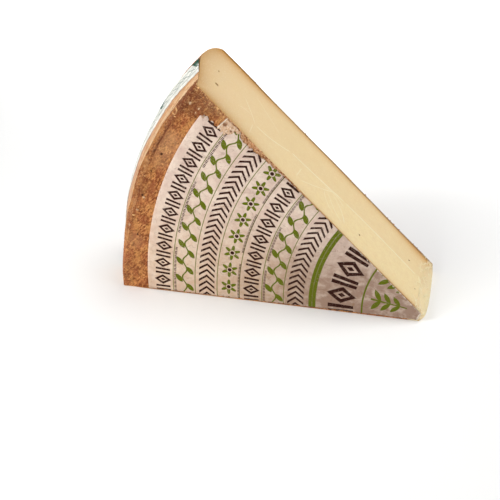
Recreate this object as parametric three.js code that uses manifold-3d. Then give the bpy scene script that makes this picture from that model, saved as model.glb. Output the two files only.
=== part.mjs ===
// A wedge of hard mountain cheese, cut from a large flat wheel, standing on one of its two cuts.
// Millimetres, +Z up. While the wedge is shaped, the line where its two cuts meet is the Y axis,
// the lower cut lies in z = 0, the heel (the wheel's outer side) is at -X, the labelled face
// looks to -Y and +Y runs through the wheel's thickness. The finished group is then moved so
// that the middle of its outline stands on the origin.
import * as THREE from "three";
import { mergeVertices } from "three/addons/utils/BufferGeometryUtils.js";
import Module from "manifold-3d";

const { degToRad, smoothstep } = THREE.MathUtils;

// Driving dimensions of the wheel and of the two cuts
const THICKNESS = 90; // of the wheel, from labelled face to bare face
const CUT_ANGLE = degToRad(45.2); // between the lower and the upper cut
const UPPER_NORMAL = new THREE.Vector3(Math.sin(CUT_ANGLE), 0, Math.cos(CUT_ANGLE));
const RIM_RADIUS = 308.6; // of the labelled face's edge
const WHEEL_CENTRE = { x: 7, z: 1.5 }; // the cuts meet just short of it
const HEEL_BULGE = 13.1; // how far the wheel's side swells past its faces
const HEEL_CREST = 0.59; // where it swells most, as a share of the thickness
const RIM_WEAR = { least: 1, most: 6, depth: 0.05 }; // the labelled edge, worn most midway

// The blunt tip
const TIP_LOSS = 8.8; // length missing at the sharp end
const TIP_SLOPE = 0.45; // how far the break leans back halfway through the thickness
const TIP_BULGE = { size: 3.1, lean: 0.6 }; // swelling at its foot, fullest towards the label
const TIP_CHIP = { size: 3, across: 0.12, up: 0.6 }; // crumb gone from the labelled lower corner

// Relief of the surfaces, which fades towards the middle of the wedge
const RIND_RELIEF = 0.8; // swell of the rind on the heel
const FACE_RELIEF = 0.6; // swell of the rind on the two faces
const CUT_RELIEF = 0.35; // waviness that the knife leaves
const BARE_RIND = { from: 13, to: 21 }; // the labelled face swells only this near its rim
const FADE = 8;

// Small openings in the upper cut: distance from the tip line, distance from the labelled face,
// then length along the wedge, width across it and depth
const PITS = [
  { along: 289.9, across: 29.7, length: 5, width: 2.4, depth: 1.8 },
  { along: 295.8, across: 50.7, length: 2, width: 1.6, depth: 0.8 },
  { along: 101.8, across: 21.2, length: 2.4, width: 2.2, depth: 1.6 },
  { along: 41.9, across: 57.5, length: 2.4, width: 2, depth: 1.4 },
  { along: 27, across: 24.7, length: 1.8, width: 1.4, depth: 0.6 },
];

// Paper: a round label on the face and a band round the heel
const PAPER = 0.35;
const PAPER_GAP = 0.3; // between the paper and the rind
const FLOOR_GAP = 1.5; // the paper ends this far above the lower cut
const LABEL_RADIUS = 299.6;
const LABEL_CENTRE = { x: 25.5, z: 4.3 };
const LABEL_TIP = 12.3; // the label ends this far from the tip line
const LABEL_LAST = 0.15; // angle below the upper cut at which its tip end turns
const LABEL_INSET = 1; // its upper edge keeps this far below the upper cut
const TEAR = { from: 264.5, depth: 14, step: 3 }; // the torn corner, measured along the upper cut
const FRAY = { from: 185, to: 247, depth: 4.5, lip: 4 }; // the frayed stretch beside it
const BAND = { from: 0.24, to: 0.47, drift: 0.2 }; // of the thickness
const BAND_START = degToRad(0.35); // angle at which the band begins, above the lower cut
const BAND_DRIFT = { low: degToRad(8), high: degToRad(50) }; // where the band, laid askew, drifts

// Rows of facets
const ROWS = { along: 34, across: 16, round: 34 };
const PACKING = 0.6; // how much closer the rows lie at the ends of each run

// A share from 0 to 1, with the rows packed closer at both ends.
function packed(share) {
  return share - (PACKING * Math.sin(2 * Math.PI * share)) / (2 * Math.PI);
}

// How far the heel stands out past the rim, at a share of the thickness: a slow rise from the
// labelled face to the crest, then a round shoulder down to the bare face.
function heelBulge(share) {
  if (share < HEEL_CREST) return HEEL_BULGE * smoothstep(share, 0, HEEL_CREST);
  const past = (share - HEEL_CREST) / (1 - HEEL_CREST);
  return HEEL_BULGE * Math.max(0, 1 - past * past) ** 0.65;
}

// Distance from the tip line to a circle round the wheel's centre, in the direction that rises
// from the lower cut by the given angle.
function reach(angle, radius) {
  const { x, z } = WHEEL_CENTRE;
  const shift = x * Math.cos(angle) - z * Math.sin(angle);
  return Math.sqrt(shift * shift - x * x - z * z + radius * radius) - shift;
}

// Gentle unevenness from -1 to 1 over a surface, with swells some tens of millimetres long.
function swell(u, v) {
  const slow = Math.sin(u / 23 + 1.3) * Math.cos(v / 17 + 0.4);
  const quick = Math.sin(u / 9.5 + v / 12.5) * Math.cos(v / 8.1 - 0.9);
  return 0.62 * slow + 0.38 * quick;
}

// Distance from the tip line to the heel, at an angle and a share of the thickness.
function heelReach(angle, share) {
  const midway = Math.sin((Math.PI * angle) / CUT_ANGLE);
  const wear = RIM_WEAR.least + (RIM_WEAR.most - RIM_WEAR.least) * midway;
  const worn = wear * (1 - smoothstep(share, 0, RIM_WEAR.depth));
  const uneven = RIND_RELIEF * swell(angle * RIM_RADIUS, share * THICKNESS);
  return reach(angle, RIM_RADIUS + heelBulge(share) - worn + uneven);
}

// Distance from the tip line to the broken tip, upright at both faces and leaning back between
// them, where its foot swells out, with a crumb missing at the lower labelled corner.
function tipReach(angle, share) {
  const lean = TIP_SLOPE * Math.sqrt(Math.abs(Math.sin(Math.PI * share)));
  const height = angle / CUT_ANGLE;
  const corner = Math.hypot(share / TIP_CHIP.across, height / TIP_CHIP.up);
  const chip = TIP_CHIP.size * (1 - smoothstep(corner, 0, 1));
  const bulge = TIP_BULGE.size * Math.sin(Math.PI * share ** TIP_BULGE.lean) * (1 - height);
  return (TIP_LOSS + chip - bulge) / (Math.cos(angle) - lean * Math.sin(angle));
}

// A point at a distance from the tip line, an angle above the lower cut and a depth from the
// labelled face.
function wedgePoint(distance, angle, depth) {
  return new THREE.Vector3(-distance * Math.cos(angle), depth, distance * Math.sin(angle));
}

// The cheese is a unit block bent into the wedge: its length runs from heel to tip, its height
// through the thickness and its depth from the lower cut to the upper one.
function bendToWedge(length, height, depth) {
  const along = packed(0.5 - length);
  const share = packed(height + 0.5);
  const turn = packed(depth + 0.5);
  const angle = turn * CUT_ANGLE;
  const near = tipReach(angle, share);
  const far = heelReach(angle, share);
  const distance = near + (far - near) * along;
  const place = wedgePoint(distance, angle, share * THICKNESS);

  // The bare face swells all over, the labelled one only outside its label.
  const bare = 1 - smoothstep(far - distance, BARE_RIND.from, BARE_RIND.to);
  const front = bare * swell(place.x * 2, place.z * 2) * (1 - share) ** FADE;
  const back = swell(place.x, place.z + THICKNESS) * share ** FADE;
  place.y += FACE_RELIEF * (front + back);

  // The upper cut is wavy and the lower one is flat, to stand on.
  const wave = CUT_RELIEF * swell(distance, share * THICKNESS) * turn ** FADE;
  return place.addScaledVector(UPPER_NORMAL, wave);
}

// A box divided into rows, its vertices shared and each moved by the given function.
function bentBox(rows, bend) {
  const box = new THREE.BoxGeometry(1, 1, 1, ...rows);
  box.deleteAttribute("normal");
  box.deleteAttribute("uv");
  const shared = mergeVertices(box, 1e-5);
  const places = shared.getAttribute("position");
  for (let i = 0; i < places.count; i++) {
    const { x, y, z } = bend(places.getX(i), places.getY(i), places.getZ(i));
    places.setXYZ(i, x, y, z);
  }
  return shared;
}

// A geometry as a solid that can be joined and cut, and back again.
const wasm = await Module();
wasm.setup();

function toSolid(geometry) {
  const bare = new THREE.BufferGeometry();
  bare.setAttribute("position", geometry.getAttribute("position"));
  if (geometry.index) bare.setIndex(geometry.index);
  const shared = mergeVertices(bare, 1e-4);
  return new wasm.Manifold(
    new wasm.Mesh({
      numProp: 3,
      vertProperties: new Float32Array(shared.getAttribute("position").array),
      triVerts: new Uint32Array(shared.index.array),
    }),
  );
}

function toGeometry(solid) {
  const mesh = solid.getMesh();
  const geometry = new THREE.BufferGeometry();
  geometry.setAttribute("position", new THREE.BufferAttribute(mesh.vertProperties, 3));
  geometry.setIndex(new THREE.BufferAttribute(mesh.triVerts, 1));
  geometry.computeVertexNormals();
  return geometry;
}

// A smooth hollow, half above the upper cut and half below it.
function pitGeometry({ along, across, length, width, depth }) {
  const hollow = new THREE.IcosahedronGeometry(1, 1);
  hollow.deleteAttribute("normal");
  hollow.deleteAttribute("uv");
  hollow.scale(length / 2, width / 2, depth);
  hollow.rotateY(CUT_ANGLE);
  const centre = wedgePoint(along, CUT_ANGLE, across);
  return hollow.translate(centre.x, centre.y, centre.z);
}

function cheeseGeometry() {
  const block = bentBox([ROWS.along, ROWS.across, ROWS.round], bendToWedge);
  let cheese = toSolid(block);
  for (const pit of PITS) cheese = cheese.subtract(toSolid(pitGeometry(pit)));
  return toGeometry(cheese);
}

// How far below the upper cut the label's paper ends, at a distance from the tip line.
function tornEdge(along) {
  const ragged = 1.1 * Math.sin(along * 0.9) + 0.8 * Math.sin(along * 2.3 + 1);
  if (along > TEAR.from) return TEAR.depth + ragged;
  if (along < FRAY.from || along > FRAY.to) return LABEL_INSET;
  const rise = smoothstep(along, FRAY.from, FRAY.to);
  const lip = smoothstep(FRAY.to - along, 0, FRAY.lip);
  return LABEL_INSET + lip * (FRAY.depth * rise + Math.max(0, ragged));
}

// Where the label's round edge crosses the line that lies a given depth below the upper cut.
function labelEdgeAlong(depth) {
  const { x, z } = LABEL_CENTRE;
  const line = -x * Math.cos(CUT_ANGLE) + z * Math.sin(CUT_ANGLE);
  const off = x * Math.sin(CUT_ANGLE) + z * Math.cos(CUT_ANGLE) + depth;
  return line + Math.sqrt(LABEL_RADIUS ** 2 - off ** 2);
}

// A point of the labelled face, from the distance along the upper cut and the depth below it.
function facePoint(along, depth) {
  return new THREE.Vector2(
    -along * Math.cos(CUT_ANGLE) - depth * Math.sin(CUT_ANGLE),
    along * Math.sin(CUT_ANGLE) - depth * Math.cos(CUT_ANGLE),
  );
}

function labelOutline() {
  const corner = labelEdgeAlong(TEAR.depth);
  const first = LABEL_TIP + LABEL_INSET;
  const points = [];
  for (let along = first; along < TEAR.from; along += TEAR.step) {
    points.push(facePoint(along, tornEdge(along)));
  }
  points.push(facePoint(TEAR.from, LABEL_INSET));
  for (let along = TEAR.from + 0.2; along < corner; along += TEAR.step) {
    points.push(facePoint(along, tornEdge(along)));
  }
  const top = facePoint(corner, TEAR.depth);
  const height = FLOOR_GAP - LABEL_CENTRE.z;
  const startAngle = Math.atan2(top.y - LABEL_CENTRE.z, top.x - LABEL_CENTRE.x);
  const endAngle = Math.PI + Math.asin(-height / LABEL_RADIUS);
  const outline = new THREE.Shape();
  outline.setFromPoints(points);
  outline.absarc(LABEL_CENTRE.x, LABEL_CENTRE.z, LABEL_RADIUS, startAngle, endAngle, false);
  const foot = Math.PI - Math.asin(FLOOR_GAP / LABEL_TIP);
  outline.absarc(0, 0, LABEL_TIP, foot, Math.PI - CUT_ANGLE + LABEL_LAST, true);
  outline.closePath();
  return outline;
}

function labelGeometry() {
  const paper = { depth: PAPER, bevelEnabled: false, curveSegments: 48 };
  const label = new THREE.ExtrudeGeometry(labelOutline(), paper);
  label.rotateX(Math.PI / 2);
  return label.translate(0, -PAPER_GAP, 0);
}

// The band is a flat strip bent round the heel, following its swell. On its way down from the
// upper cut it drifts away from the labelled face.
function bendToBand(length, height, depth) {
  const angle = BAND_START + (CUT_ANGLE - BAND_START) * (depth + 0.5);
  const drift = BAND.drift * (1 - smoothstep(angle, BAND_DRIFT.low, BAND_DRIFT.high));
  const share = BAND.from + (BAND.to - BAND.from) * (height + 0.5) + drift;
  const off = PAPER_GAP + PAPER * (0.5 - length);
  return wedgePoint(heelReach(angle, share) + off, angle, share * THICKNESS);
}

function material(color, roughness) {
  return new THREE.MeshStandardMaterial({ color, roughness, metalness: 0 });
}

function part(name, geometry, look) {
  const mesh = new THREE.Mesh(geometry, look);
  mesh.name = name;
  return mesh;
}

const wedge = new THREE.Group();
wedge.add(part("cheese_wedge", cheeseGeometry(), material(0xe9d6a8, 0.55)));
wedge.add(part("face_label", labelGeometry(), material(0xd2beb0, 0.8)));
wedge.add(part("side_band", bentBox([1, 6, 40], bendToBand), material(0xd6dccf, 0.75)));

const outline = new THREE.Box3().setFromObject(wedge);
const middle = outline.getCenter(new THREE.Vector3());
wedge.position.set(-middle.x, -middle.y, -outline.min.z);

const group = new THREE.Group();
group.add(wedge);

export default group;
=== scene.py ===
# %% [markdown]
# A wedge of hard mountain cheese, dressed for its picture.
# The imported model brings three plain solids: the cheese, the round label on its face and the paper
# band round its heel. This lesson gives each of them its real surface. It works in millimetres,
# measured as a cheesemonger would: from the line where the two cuts meet, from the labelled face
# and from the cut that the wedge stands on. Only the last step of each piece turns them to metres.

# %% [markdown]
# The solids are loaded first, and every piece has to stay inside their box.

# %% Load the frame
import math
from functools import partialmethod
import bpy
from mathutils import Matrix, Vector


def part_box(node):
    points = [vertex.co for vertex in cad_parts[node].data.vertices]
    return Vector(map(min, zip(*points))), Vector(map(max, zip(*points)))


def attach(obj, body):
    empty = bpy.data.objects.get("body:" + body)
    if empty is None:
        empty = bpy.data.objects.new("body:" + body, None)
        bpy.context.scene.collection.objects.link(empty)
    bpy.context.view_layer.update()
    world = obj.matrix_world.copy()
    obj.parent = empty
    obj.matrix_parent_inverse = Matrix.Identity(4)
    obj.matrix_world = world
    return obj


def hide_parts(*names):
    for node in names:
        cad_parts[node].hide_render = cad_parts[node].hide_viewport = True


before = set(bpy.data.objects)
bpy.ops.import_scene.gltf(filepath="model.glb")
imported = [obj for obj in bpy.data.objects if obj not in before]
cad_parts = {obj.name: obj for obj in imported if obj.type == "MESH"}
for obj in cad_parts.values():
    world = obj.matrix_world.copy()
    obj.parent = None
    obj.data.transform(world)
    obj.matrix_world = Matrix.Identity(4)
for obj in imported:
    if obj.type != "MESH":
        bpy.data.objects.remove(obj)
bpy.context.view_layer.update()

from types import SimpleNamespace

import bpy
from mathutils import Color, Matrix, Vector

print("solids:", sorted(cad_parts))

# %% [markdown]
# The sizes of the wheel are those that the solids were built from, so that each new surface lies
# where its solid lies. The label ties this lesson to the frame: its last corner lies a known
# distance from the tip line, and its outer side stands a known height off the labelled face.

# %% Sizes of the wheel, the cuts and the paper
MM = 0.001
THICKNESS = 90
CUT_ANGLE = math.radians(45.2)
RIM_RADIUS = 308.6
WHEEL_X, WHEEL_Z = 7, 1.5
HEEL_BULGE, HEEL_CREST = 13.1, 0.59
RIM_WEAR_LEAST, RIM_WEAR_MOST, RIM_WEAR_DEPTH = 1, 6, 0.05
TIP_LOSS, TIP_SLOPE = 8.8, 0.45
TIP_BULGE, BULGE_LEAN = 3.1, 0.6
TIP_CHIP, CHIP_ACROSS, CHIP_UP = 3, 0.12, 0.6
RIND_RELIEF, FACE_RELIEF, CUT_RELIEF, FADE = 0.8, 0.6, 0.35, 8
RIND_INSET = 0.2
BARE_FROM, BARE_TO = 13, 21
PAPER, PAPER_GAP, SHEET, FLOOR_GAP = 0.35, 0.3, 0.2, 1.5
EDGE_HUG = -0.15
LABEL_RADIUS, LABEL_X, LABEL_Z = 299.6, 25.5, 4.3
LABEL_TIP, LABEL_LAST, LABEL_INSET = 12.3, 0.15, 1
TEAR_FROM, TEAR_DEPTH = 264.5, 14
FRAY_FROM, FRAY_TO, FRAY_DEPTH, FRAY_LIP = 185, 247, 4.5, 4
BAND_FROM, BAND_TO, BAND_START = 0.24, 0.47, math.radians(0.35)
BAND_DRIFT, DRIFT_LOW, DRIFT_HIGH = 0.2, math.radians(8), math.radians(50)

tip_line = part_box("face_label")[1].x / MM + LABEL_TIP * math.cos(CUT_ANGLE - LABEL_LAST)
face_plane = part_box("face_label")[0].y / MM + PAPER + PAPER_GAP
print("tip line at x", round(tip_line, 2), "mm, labelled face at y", round(face_plane, 2), "mm")

# %% [markdown]
# The camera comes first, because every finish is judged through it. It stands a metre off, in
# front of the labelled face and a little to the right, and looks down by thirty degrees through a
# long lens. Its place was worked out from the straight edges of the wedge.

# %% The camera
LENS, SENSOR = 77.545, 36
AIM = Vector((tip_line - 150, face_plane + 50, 80)) * MM
AZIMUTH, ELEVATION, ROLL = (math.radians(angle) for angle in (15.951, 29.722, -1.877))
SLIDE_RIGHT, SLIDE_UP, STAND_BACK = -31.814, -42.632, 1024.012

round_wedge = Matrix.Rotation(AZIMUTH, 3, "Z")
looking_down = Matrix.Rotation(math.pi / 2 - ELEVATION, 3, "X")
camera_turn = round_wedge @ looking_down @ Matrix.Rotation(ROLL, 3, "Z")
camera = bpy.data.objects.new("camera", bpy.data.cameras.new("camera"))
bpy.context.scene.collection.objects.link(camera)
camera.data.lens = LENS
camera.data.sensor_width = SENSOR
camera.matrix_world = camera_turn.to_4x4()
camera.location = AIM + camera_turn @ Vector((SLIDE_RIGHT, SLIDE_UP, STAND_BACK)) * MM
bpy.context.scene.camera = camera
print("camera at", [round(value, 3) for value in camera.location])

# %% [markdown]
# The floor is a wide pale disc, and the light is that of a product table: one large soft light
# from the upper left and front, a wide one overhead for the cut, and a weak one from the right
# that keeps the blunt tip open. Near lights fall off along the label, as they do in the studio. A
# fourth light shines on the floor far behind, so that the background stays pale. The plain view
# transform keeps the colours as they were mixed.

# %% Floor, light and view
FLOOR_RADIUS = 8
SKY = 0.41
LIGHTS = {
    "key_light": {"at": (-0.6, -0.5, 0.62), "aim": (-0.08, 0, 0.1), "size": 0.4, "watts": 5.2},
    "top_light": {"at": (0.45, 0.25, 1.2), "aim": (0, 0, 0.1), "size": 0.9, "watts": 7},
    "side_light": {"at": (1.1, -0.35, 0.5), "aim": (0.1, 0, 0.08), "size": 0.6, "watts": 1.5},
    "far_light": {"at": (0, 1.5, 1.3), "aim": (0, 1.3, 0), "size": 1.4, "watts": 14, "spread": 50},
}


def linear(red, green, blue):
    """A colour as Blender counts it, from the 0 to 255 of a picture."""
    return (*Color((red / 255, green / 255, blue / 255)).from_srgb_to_scene_linear(), 1)


def soft_light(name, at, aim, size, watts, spread=180):
    lamp = bpy.data.lights.new(name, "AREA")
    lamp.shape = "DISK"
    lamp.spread = math.radians(spread)
    lamp.size = size
    lamp.energy = watts
    made = bpy.data.objects.new(name, lamp)
    bpy.context.scene.collection.objects.link(made)
    made.location = at
    made.rotation_euler = (Vector(at) - Vector(aim)).to_track_quat("Z", "Y").to_euler()


for name, light in LIGHTS.items():
    soft_light(name, **light)

world = bpy.data.worlds.new("studio")
world.use_nodes = True
world.node_tree.nodes["Background"].inputs["Color"].default_value = (1, 1, 1, 1)
world.node_tree.nodes["Background"].inputs["Strength"].default_value = SKY
bpy.context.scene.world = world
bpy.context.scene.view_settings.view_transform = "Standard"

bpy.ops.mesh.primitive_circle_add(vertices=96, radius=FLOOR_RADIUS, fill_type="NGON")
floor = bpy.context.object
floor.name = "floor"
floor_finish = bpy.data.materials.new("pale_floor")
floor_finish.use_nodes = True
floor_look = floor_finish.node_tree.nodes["Principled BSDF"]
floor_look.inputs["Base Color"].default_value = linear(250, 250, 249)
floor_look.inputs["Roughness"].default_value = 0.7
floor.data.materials.append(floor_finish)
print("lights:", sorted(LIGHTS))

# %% [markdown]
# Shapes and finishes here are both worked out by node trees, and both follow formulas. A node for
# each plus and times would drown the formula, so a small class, Wire, stands for the value on a
# socket and lets Python's own signs add the nodes. The same words then serve Geometry Nodes and
# shaders alike.

# %% Wires: a value, and the node that it comes from
class Wire:
    """A value that runs through a node tree. Signs and functions on it add the nodes for them."""

    def __init__(self, tree, socket):
        self.tree = tree
        self.socket = socket

    def math(self, operation, *others):
        return wire(self.tree, "ShaderNodeMath", (self, *others), operation=operation)

    __add__ = __radd__ = partialmethod(math, "ADD")
    __mul__ = __rmul__ = partialmethod(math, "MULTIPLY")
    __sub__ = partialmethod(math, "SUBTRACT")
    __truediv__ = partialmethod(math, "DIVIDE")
    __pow__ = partialmethod(math, "POWER")

    def __rsub__(self, other):
        return self * -1 + other

    def __rtruediv__(self, other):
        return self**-1 * other


def socket_of(sockets, key):
    """A socket by its number, or by its name among those in use."""
    if isinstance(key, int):
        return sockets[key]
    return next(socket for socket in sockets if socket.enabled and socket.name == key)


def place(tree, kind, feeds=(), **settings):
    """Adds a node. Feeds are wires or values for its inputs: in order, or by name in a dict."""
    made = tree.nodes.new(kind)
    for name, value in settings.items():
        setattr(made, name, value)
    for key, value in feeds.items() if isinstance(feeds, dict) else enumerate(feeds):
        socket = socket_of(made.inputs, key)
        if isinstance(value, Wire):
            tree.links.new(value.socket, socket)
        else:
            socket.default_value = value
    return made


def wire(tree, kind, feeds=(), output=None, **settings):
    """Adds a node and gives the wire on its named output, or on the first one in use."""
    outputs = place(tree, kind, feeds, **settings).outputs
    if output is None:
        output = next(socket.name for socket in outputs if socket.enabled)
    return Wire(tree, socket_of(outputs, output))


print("a wire can be added, subtracted, multiplied, divided and raised to a power")

# %% [markdown]
# The formulas of cheese and paper need few words. The first ones are for the arithmetic of places,
# such as how far one point lies from another.

# %% Wires: words for places
def sine(value):
    return value.math("SINE")


def cosine(value):
    return value.math("COSINE")


def root(value):
    return value.math("SQRT")


def size_of(value):
    return value.math("ABSOLUTE")


def part_of(value):
    """What a value has past its whole number."""
    return value.math("FRACT")


def least(first, *others):
    for other in others:
        first = first.math("MINIMUM", other)
    return first


def most(first, *others):
    for other in others:
        first = first.math("MAXIMUM", other)
    return first


def hypotenuse(first, second):
    return root(first * first + second * second)


print("words for places: sine, cosine, root, size_of, part_of, least, most, hypotenuse")

# %% [markdown]
# A mask says where something is, from 0 to 1. Nothing on a real surface ends as sharply as a number
# does, so masks are made of soft steps, fades and soft-sided strokes. Noise gives them the uneven
# outlines of crumbs and stains.

# %% Wires: words for masks
def rise(value, low, high):
    """A soft step from 0 below the low mark to 1 above the high one."""
    feeds = {"Value": value, "From Min": low, "From Max": high}
    return wire(value.tree, "ShaderNodeMapRange", feeds, interpolation_type="SMOOTHSTEP")


def fall(value, low, high):
    return 1 - rise(value, low, high)


def fade(value, reach):
    """1 at nought, dying away over the given reach."""
    return (value / (reach * -1)).math("EXPONENT")


def between(start, end, share):
    """A value that goes from start to end as share goes from 0 to 1."""
    return (end - start) * share + start


def line(value, half, soft=0.2):
    """1 where a value lies within half a stroke's width of nought."""
    return fall(size_of(value), half - soft, half + soft)


def point(tree, x, y, z):
    return wire(tree, "ShaderNodeCombineXYZ", (x, y, z))


def parts_of(vector):
    split = place(vector.tree, "ShaderNodeSeparateXYZ", (vector,))
    return [Wire(vector.tree, output) for output in split.outputs]


def noise(where, size, detail=2.0, roughness=0.5):
    """Even, cloudy noise from 0 to 1, with lumps of the given size."""
    feeds = {"Vector": where, "Scale": 1 / size, "Detail": detail, "Roughness": roughness}
    return wire(where.tree, "ShaderNodeTexNoise", feeds, output="Fac")


print("words for masks: rise, fall, fade, between, line and noise")

# %% [markdown]
# A tree's sizes are named inputs, as on any good tool, so that they can be changed in the
# modifier afterwards. A modifier keeps them under each socket's identifier and not its name, so
# a helper looks that up. The grown shape is then copied off as a plain mesh and the modifier goes.

# %% Trees with named sizes, and growing a mesh from one
SOCKETS = {int: "NodeSocketInt", float: "NodeSocketFloat", type(None): "NodeSocketGeometry"}


def spoken(word):
    """A name from the script as Blender shows it."""
    return word.replace("_", " ")


def new_tree(name, kind="GeometryNodeTree", **sizes):
    """A node tree with the given sizes as named inputs, and a wire for each of them."""
    tree = bpy.data.node_groups.new(name, kind)
    for word, value in sizes.items():
        socket = tree.interface.new_socket(spoken(word), in_out="INPUT", socket_type=SOCKETS[type(value)])
        if value is not None:
            socket.default_value = value
    entry = tree.nodes.new("NodeGroupInput")
    return tree, SimpleNamespace(**{word: Wire(tree, entry.outputs[spoken(word)]) for word in sizes})


def end_tree(tree, kind, **results):
    """Ends a tree with a named output for each result."""
    for word in results:
        tree.interface.new_socket(spoken(word), in_out="OUTPUT", socket_type=kind)
    place(tree, "NodeGroupOutput", list(results.values()))
    return tree


def grow(name, tree, start=None, **sizes):
    """An object whose mesh is what the tree makes of the start mesh, with the given sizes."""
    piece = bpy.data.objects.new(name, start or bpy.data.meshes.new(name))
    bpy.context.scene.collection.objects.link(piece)
    modifier = piece.modifiers.new("grow", "NODES")
    modifier.node_group = tree
    identifiers = {socket.name: socket.identifier for socket in tree.interface.items_tree}
    for word, value in sizes.items():
        modifier[identifiers[spoken(word)]] = value
    graph = bpy.context.evaluated_depsgraph_get()
    mesh = bpy.data.meshes.new_from_object(piece.evaluated_get(graph))
    mesh.name = name
    for index in reversed(range(len(mesh.materials))):
        if mesh.materials[index] is None:
            mesh.materials.pop(index=index)
    piece.modifiers.clear()
    piece.data = mesh
    print(name, "has", sum(len(face.vertices) - 2 for face in mesh.polygons), "triangles")
    return piece


# %% [markdown]
# The wheel itself is a formula. These helpers repeat the solids' own ones, on wires: how far the
# heel and the blunt tip lie from the tip line in any direction, the slow swell of the rind, and
# where the label is torn.

# %% The wheel's formulas
def swell(u, v):
    """Gentle unevenness from -1 to 1, with swells some tens of millimetres long."""
    slow = sine(u / 23 + 1.3) * cosine(v / 17 + 0.4)
    quick = sine(u / 9.5 + v / 12.5) * cosine(v / 8.1 - 0.9)
    return slow * 0.62 + quick * 0.38


def heel_bulge(share):
    """How far the heel stands out past the rim, at a share of the thickness."""
    past = most(share - HEEL_CREST, 0) / (1 - HEEL_CREST)
    return most(1 - past * past, 0) ** 0.65 * rise(share, 0, HEEL_CREST) * HEEL_BULGE


def reach(angle, radius, x, z):
    """Distance from the tip line to a circle round (x, z), in the direction of an angle."""
    shift = cosine(angle) * x - sine(angle) * z
    return root(shift * shift + radius * radius - x * x - z * z) - shift


def heel_reach(angle, share):
    """Distance from the tip line to the heel."""
    midway = sine(angle * (math.pi / CUT_ANGLE))
    wear = midway * (RIM_WEAR_MOST - RIM_WEAR_LEAST) + RIM_WEAR_LEAST
    worn = wear * fall(share, 0, RIM_WEAR_DEPTH)
    uneven = swell(angle * RIM_RADIUS, share * THICKNESS) * RIND_RELIEF
    return reach(angle, heel_bulge(share) + RIM_RADIUS - worn + uneven, WHEEL_X, WHEEL_Z)


def tip_reach(angle, share):
    """Distance from the tip line to the blunt end that broke off."""
    lean = root(size_of(sine(share * math.pi))) * TIP_SLOPE
    height = angle / CUT_ANGLE
    chip = fall(hypotenuse(share / CHIP_ACROSS, height / CHIP_UP), 0, 1) * TIP_CHIP
    bulge = sine(most(share, 0) ** BULGE_LEAN * math.pi) * (1 - height) * TIP_BULGE
    return (chip + TIP_LOSS - bulge) / (cosine(angle) - lean * sine(angle))


def torn_edge(along):
    """How far below the upper cut the label's paper ends, at a distance from the tip line."""
    ragged = sine(along * 0.9) * 1.1 + sine(along * 2.3 + 1) * 0.8
    frayed = rise(along, FRAY_FROM, FRAY_TO) * FRAY_DEPTH + most(ragged, 0)
    stretch = rise(along, FRAY_FROM - 1, FRAY_FROM) * fall(along, FRAY_TO - FRAY_LIP, FRAY_TO)
    torn = rise(along, TEAR_FROM - 0.1, TEAR_FROM + 0.5)
    return between(frayed * stretch + LABEL_INSET, ragged + TEAR_DEPTH, torn)


def band_drift(angle):
    """How far the band, laid askew, has drifted from the label, as a share of the thickness."""
    return fall(angle, DRIFT_LOW, DRIFT_HIGH) * BAND_DRIFT


def packed(share, packing):
    """A share from 0 to 1, with the rows packed closer at both ends."""
    return share - sine(share * (2 * math.pi)) * (packing / (2 * math.pi))


print("the wheel is", 2 * RIM_RADIUS, "mm across at its labelled edge")

# %% [markdown]
# Shapes and finishes read the same places. Inside a shape's tree the place is the vertex, and
# inside a material it is the point on the piece, both turned back to millimetres from the tip
# line, the labelled face and the lower cut. Two more ways to say where a point is help with the
# label: along and below the upper cut, and round the label's own centre.

# %% Places on the wedge
def in_metres(x, y, z):
    """The frame's own point for a place on the wedge."""
    return point(x.tree, (x + tip_line) * MM, (y + face_plane) * MM, z * MM)


def spot_on_wedge(tree):
    """Millimetres from the tip line, which is -x, from the labelled face and from the lower cut."""
    if tree.bl_idname == "GeometryNodeTree":
        where = wire(tree, "GeometryNodeInputPosition")
    else:
        where = wire(tree, "ShaderNodeTexCoord", output="Object")
    x, y, z = parts_of(where)
    return x / MM - tip_line, y / MM - face_plane, z / MM


def along_cut(x, z):
    """Distance along the upper cut and depth below it, of a point beside it."""
    along = z * math.sin(CUT_ANGLE) - x * math.cos(CUT_ANGLE)
    below = (x * math.sin(CUT_ANGLE) + z * math.cos(CUT_ANGLE)) * -1
    return along, below


def angle_of(x, z):
    """Angle round the tip line from the lower cut."""
    return z.math("ARCTAN2", x * -1)


def along_rim(x, z):
    """Distance round the rim from the lower cut."""
    return angle_of(x, z) * RIM_RADIUS


def round_label(x, z):
    """Distance from the label's centre, and the angle round it from the lower cut."""
    angle = (z - LABEL_Z).math("ARCTAN2", LABEL_X - x)
    return hypotenuse(x - LABEL_X, z - LABEL_Z), angle


def level_and_height(distance, angle):
    """The x and the z of a point at a distance and an angle from the tip line."""
    return distance * cosine(angle) * -1, distance * sine(angle)


def kept(tree, name):
    """A number that a shape's tree kept on the mesh."""
    if tree.bl_idname == "GeometryNodeTree":
        return wire(tree, "GeometryNodeInputNamedAttribute", {"Name": name}, data_type="FLOAT")
    return wire(tree, "ShaderNodeAttribute", output="Fac", attribute_name=name)


print("the label's centre lies", LABEL_X, "mm past the tip line")

# %% [markdown]
# A finish is a stack of coats over a ground colour, like glazes: each coat is a mask and a colour.
# Even values, such as how much light sinks in, are set straight on the shader. What varies is led
# in by wires: the colour, the roughness and a bump made from a height.

# %% Helpers for finishes
def palette(**colours):
    """Colours under plain names, each from the 0 to 255 of a picture."""
    return {name: linear(*values) for name, values in colours.items()}


def finish(name, **constants):
    """A material, its tree and its shader, with the even values set on the shader's sockets."""
    made = bpy.data.materials.new(name)
    made.use_nodes = True
    shader = made.node_tree.nodes["Principled BSDF"]
    for label, value in constants.items():
        shader.inputs[spoken(label)].default_value = value
    return made, made.node_tree, shader


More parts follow.
